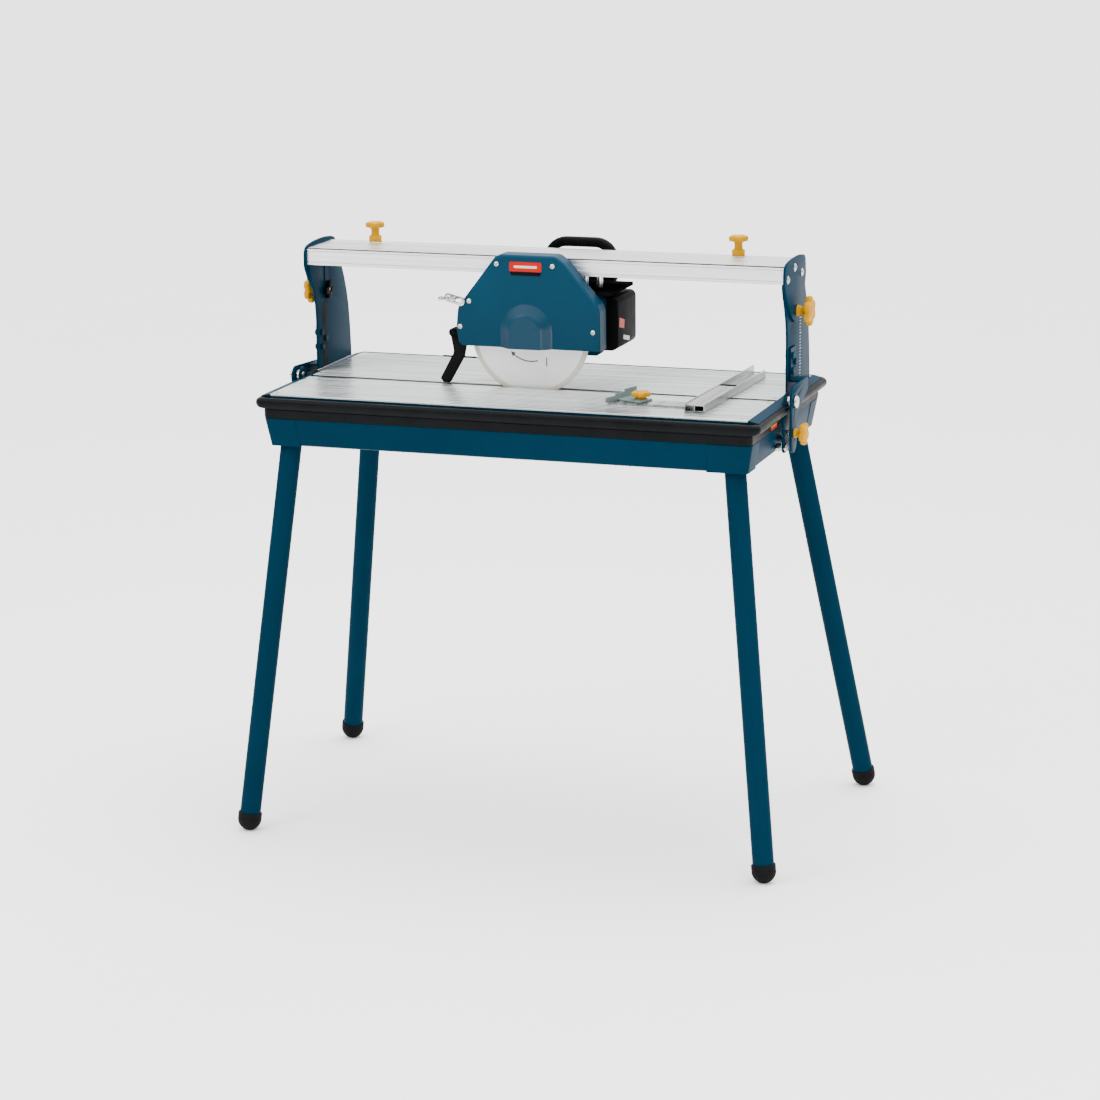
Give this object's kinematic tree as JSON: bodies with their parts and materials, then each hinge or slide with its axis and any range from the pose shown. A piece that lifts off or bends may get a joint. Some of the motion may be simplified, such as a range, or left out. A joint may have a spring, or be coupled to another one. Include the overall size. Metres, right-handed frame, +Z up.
{
  "type": "wet tile saw",
  "caption": "Wet tile saw on four splayed legs: a motor and guarded diamond blade travel along an overhead rail above a slotted aluminium table with a water tray.",
  "frame": {"origin": "on the floor, under the middle of the four feet", "axes": "+X to the operator's right along the rail, +Y away from the operator, +Z up"},
  "size_m": [0.9789, 0.5675, 0.9627],
  "materials": {
    "table_frame": "satin",
    "water_tray": "satin",
    "table_top_frame": "gloss",
    "table_plate_front": "brushed",
    "table_plate_rear": "brushed",
    "table_screws": "bright",
    "leg_front_left": "gloss",
    "leg_front_right": "gloss",
    "leg_rear_left": "gloss",
    "leg_rear_right": "gloss",
    "foot_caps": "matt",
    "water_pump": "matt",
    "tilt_quadrants": "gloss",
    "tilt_fasteners": "zinc plated",
    "tilt_arm_left": "gloss",
    "tilt_arm_right": "gloss",
    "upright_left": "gloss",
    "upright_right": "gloss",
    "upright_bolts": "zinc plated",
    "tilt_knob_left": "gloss",
    "tilt_knob_right": "gloss",
    "end_plate_left": "gloss",
    "end_plate_right": "gloss",
    "rail": "satin anodised",
    "rail_bolts": "zinc plated",
    "clamp_nuts": "matt",
    "height_knob_left": "gloss",
    "height_knob_right": "gloss",
    "stop_knob_left": "gloss",
    "stop_knob_right": "gloss",
    "carriage_plate": "painted black",
    "runner_block": "machined",
    "guard_cover": "gloss",
    "guard_back": "painted black",
    "guard_screws": "zinc plated",
    "gear_case": "painted blue",
    "motor_housing": "satin",
    "motor_end_cap": "satin",
    "switch_box": "satin",
    "handle": "satin",
    "bearings": "ground",
    "stator": "laminated",
    "splash_bracket": "zinc plated",
    "switch_rocker": "gloss",
    "wheel_set_left": "ground",
    "wheel_set_right": "ground",
    "spindle": "ground",
    "spindle_gear": "hobbed",
    "blade_flanges": "turned",
    "blade": "satin, pale",
    "blade_nut": "zinc plated",
    "armature": "ground",
    "cooling_fan": "matt",
    "splash_arm": "matt",
    "wing_nut": "zinc plated",
    "fence": "mill finish",
    "fence_clamp": "matt",
    "guide_bar": "mill finish",
    "angle_plate": "satin grey-green",
    "guide_knob": "gloss"
  },
  "bodies": {
    "stand": {"table_frame": "table_frame", "water_tray": "water_tray", "table_top_frame": "table_top_frame", "table_plate_front": "table_plate_front", "table_plate_rear": "table_plate_rear", "table_screws": "table_screws", "leg_front_left": "leg_front_left", "leg_front_right": "leg_front_right", "leg_rear_left": "leg_rear_left", "leg_rear_right": "leg_rear_right", "foot_caps": "foot_caps", "water_pump": "water_pump", "tilt_quadrants": "tilt_quadrants", "tilt_fasteners": "tilt_fasteners"},
    "bridge": {"tilt_arm_left": "tilt_arm_left", "tilt_arm_right": "tilt_arm_right", "upright_left": "upright_left", "upright_right": "upright_right", "upright_bolts": "upright_bolts"},
    "tilt_lock_left": {"tilt_knob_left": "tilt_knob_left"},
    "tilt_lock_right": {"tilt_knob_right": "tilt_knob_right"},
    "crosshead": {"end_plate_left": "end_plate_left", "end_plate_right": "end_plate_right", "rail": "rail", "rail_bolts": "rail_bolts", "clamp_nuts": "clamp_nuts"},
    "height_lock_left": {"height_knob_left": "height_knob_left"},
    "height_lock_right": {"height_knob_right": "height_knob_right"},
    "carriage_stop_left": {"stop_knob_left": "stop_knob_left"},
    "carriage_stop_right": {"stop_knob_right": "stop_knob_right"},
    "carriage": {"carriage_plate": "carriage_plate", "runner_block": "runner_block", "guard_cover": "guard_cover", "guard_back": "guard_back", "guard_screws": "guard_screws", "gear_case": "gear_case", "motor_housing": "motor_housing", "motor_end_cap": "motor_end_cap", "switch_box": "switch_box", "handle": "handle", "bearings": "bearings", "stator": "stator", "splash_bracket": "splash_bracket"},
    "wheels_left": {"wheel_set_left": "wheel_set_left"},
    "wheels_right": {"wheel_set_right": "wheel_set_right"},
    "blade_spindle": {"spindle": "spindle", "spindle_gear": "spindle_gear", "blade_flanges": "blade_flanges", "blade": "blade", "blade_nut": "blade_nut"},
    "motor_armature": {"armature": "armature", "cooling_fan": "cooling_fan"},
    "splash": {"splash_arm": "splash_arm"},
    "splash_lock": {"wing_nut": "wing_nut"},
    "rocker": {"switch_rocker": "switch_rocker"},
    "rip_fence": {"fence": "fence", "fence_clamp": "fence_clamp", "guide_bar": "guide_bar"},
    "angle_guide": {"angle_plate": "angle_plate"},
    "angle_lock": {"guide_knob": "guide_knob"}
  },
  "joints": [
    {"name": "bevel_tilt", "type": "hinge", "parent": "stand", "child": "bridge", "pos_m": [0, -0.053, 0.721], "axis": [1, 0, 0], "range_deg": [0, 45]},
    {"name": "tilt_lock_left_turn", "type": "hinge", "parent": "bridge", "child": "tilt_lock_left", "pos_m": [-0.4243, -0.053, 0.671], "axis": [-1, 0, 0], "range_deg": [0, 360]},
    {"name": "tilt_lock_right_turn", "type": "hinge", "parent": "bridge", "child": "tilt_lock_right", "pos_m": [0.4243, -0.053, 0.671], "axis": [1, 0, 0], "range_deg": [0, 360]},
    {"name": "height_slide", "type": "slide", "parent": "bridge", "child": "crosshead", "axis": [0, 0, 1], "range_m": [0, 0.03]},
    {"name": "height_lock_left_turn", "type": "hinge", "parent": "crosshead", "child": "height_lock_left", "pos_m": [-0.4065, 0.028, 0.852], "axis": [-1, 0, 0], "range_deg": [0, 360]},
    {"name": "height_lock_right_turn", "type": "hinge", "parent": "crosshead", "child": "height_lock_right", "pos_m": [0.4065, 0.028, 0.852], "axis": [1, 0, 0], "range_deg": [0, 360]},
    {"name": "stop_left_turn", "type": "hinge", "parent": "crosshead", "child": "carriage_stop_left", "pos_m": [-0.322, 0.06, 0.9307], "axis": [0, 0, 1], "range_deg": [0, 360]},
    {"name": "stop_right_turn", "type": "hinge", "parent": "crosshead", "child": "carriage_stop_right", "pos_m": [0.301, 0.06, 0.9307], "axis": [0, 0, 1], "range_deg": [0, 360]},
    {"name": "carriage_slide", "type": "slide", "parent": "crosshead", "child": "carriage", "axis": [1, 0, 0], "range_m": [-0.215, 0.225]},
    {"name": "wheels_left_roll", "type": "hinge", "parent": "carriage", "child": "wheels_left", "pos_m": [-0.096, 0.012, 0.9156], "axis": [0, 1, 0], "range_deg": [-1290, 1350]},
    {"name": "wheels_right_roll", "type": "hinge", "parent": "carriage", "child": "wheels_right", "pos_m": [0.072, 0.012, 0.9156], "axis": [0, 1, 0], "range_deg": [-1290, 1350]},
    {"name": "blade_spin", "type": "hinge", "parent": "carriage", "child": "blade_spindle", "pos_m": [-0.012, -0.053, 0.809], "axis": [0, 1, 0], "continuous": true},
    {"name": "armature_spin", "type": "hinge", "parent": "carriage", "child": "motor_armature", "pos_m": [0.0442, -0.026, 0.82395], "axis": [0, 1, 0], "continuous": true},
    {"name": "splash_swing", "type": "hinge", "parent": "carriage", "child": "splash", "pos_m": [-0.142, -0.053, 0.806], "axis": [0, 1, 0], "range_deg": [0, 60]},
    {"name": "splash_lock_turn", "type": "hinge", "parent": "carriage", "child": "splash_lock", "pos_m": [-0.14158, -0.081, 0.86489], "axis": [0, -1, 0], "range_deg": [0, 360]},
    {"name": "rocker_tip", "type": "hinge", "parent": "carriage", "child": "rocker", "pos_m": [0.1103, 0.0823, 0.836], "axis": [1, 0, 0], "range_deg": [-8, 8]},
    {"name": "fence_slide", "type": "slide", "parent": "stand", "child": "rip_fence", "axis": [1, 0, 0], "range_m": [0, 0.05]},
    {"name": "angle_turn", "type": "hinge", "parent": "rip_fence", "child": "angle_guide", "pos_m": [0.198, -0.134, 0.7251], "axis": [0, 0, 1], "range_deg": [-60, 60]},
    {"name": "angle_lock_turn", "type": "hinge", "parent": "angle_guide", "child": "angle_lock", "pos_m": [0.198, -0.134, 0.7294], "axis": [0, 0, 1], "range_deg": [0, 360]}
  ],
  "couplings": [
    {"joint": "wheels_left_roll", "follows": "carriage_slide", "rad_per_m": 100},
    {"joint": "wheels_right_roll", "follows": "carriage_slide", "rad_per_m": 100},
    {"joint": "armature_spin", "follows": "blade_spin", "ratio": -3.1429}
  ]
}
